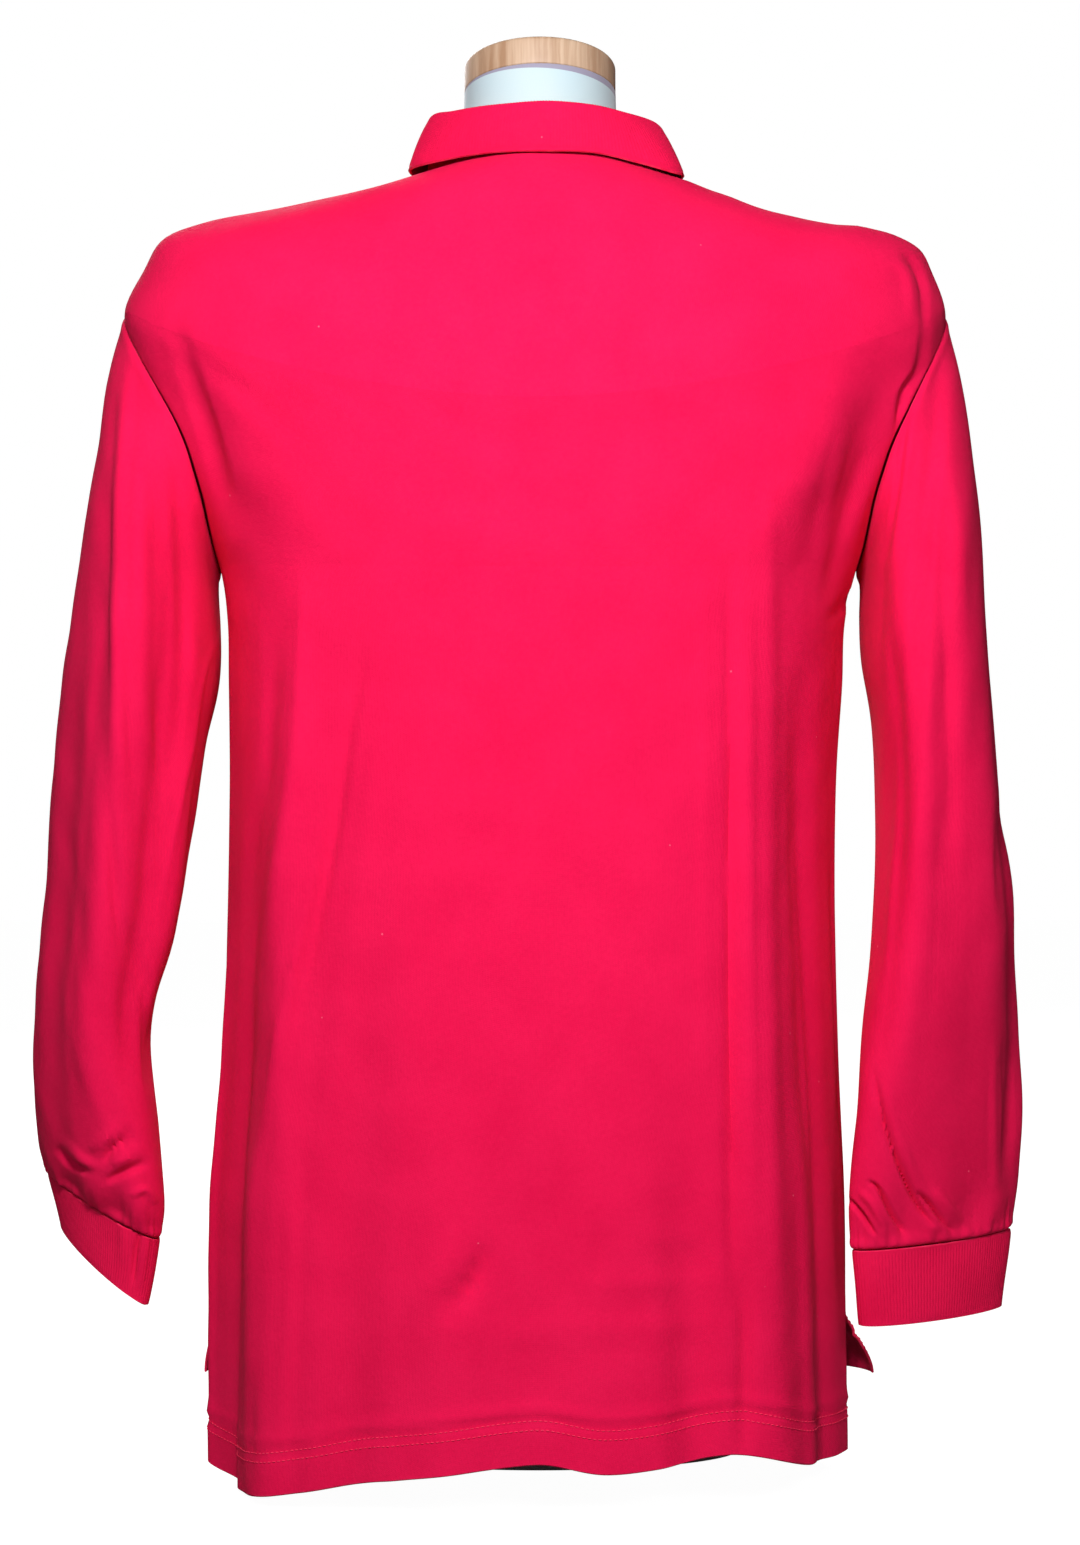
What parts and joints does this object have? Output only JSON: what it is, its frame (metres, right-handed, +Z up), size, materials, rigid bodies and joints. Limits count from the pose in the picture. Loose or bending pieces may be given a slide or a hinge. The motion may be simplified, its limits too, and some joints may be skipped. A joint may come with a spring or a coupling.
{
  "type": "long sleeve polo shirt on a dress form",
  "caption": "Red knit long sleeve polo shirt with a rib collar, button placket and rib cuffs, hanging on a limbless white dress form with a wooden neck cap.",
  "frame": {"origin": "on the base plate's underside, below the middle of the form", "axes": "+Z up, the shirt's front towards -Y, the wearer's left towards +X"},
  "size_m": [0.6074, 0.2751, 0.8669],
  "materials": {
    "red_knit": "matt cotton knit",
    "red_rib": "matt rib knit",
    "button_red": "gloss",
    "form_cloth": "smooth white cover",
    "pale_wood": "satin",
    "white_paint": "satin"
  },
  "bodies": {
    "root": {"back_panel": "red_knit", "front_panel": "red_knit", "placket_over": "red_knit", "placket_under": "red_knit", "left_sleeve": "red_knit", "right_sleeve": "red_knit", "left_cuff": "red_rib", "right_cuff": "red_rib", "collar": "red_rib", "button_1": "button_red", "button_2": "button_red", "button_3": "button_red", "form_body": "form_cloth", "neck_cap": "pale_wood", "base_post": "white_paint", "base_plate": "white_paint"}
  },
  "joints": []
}
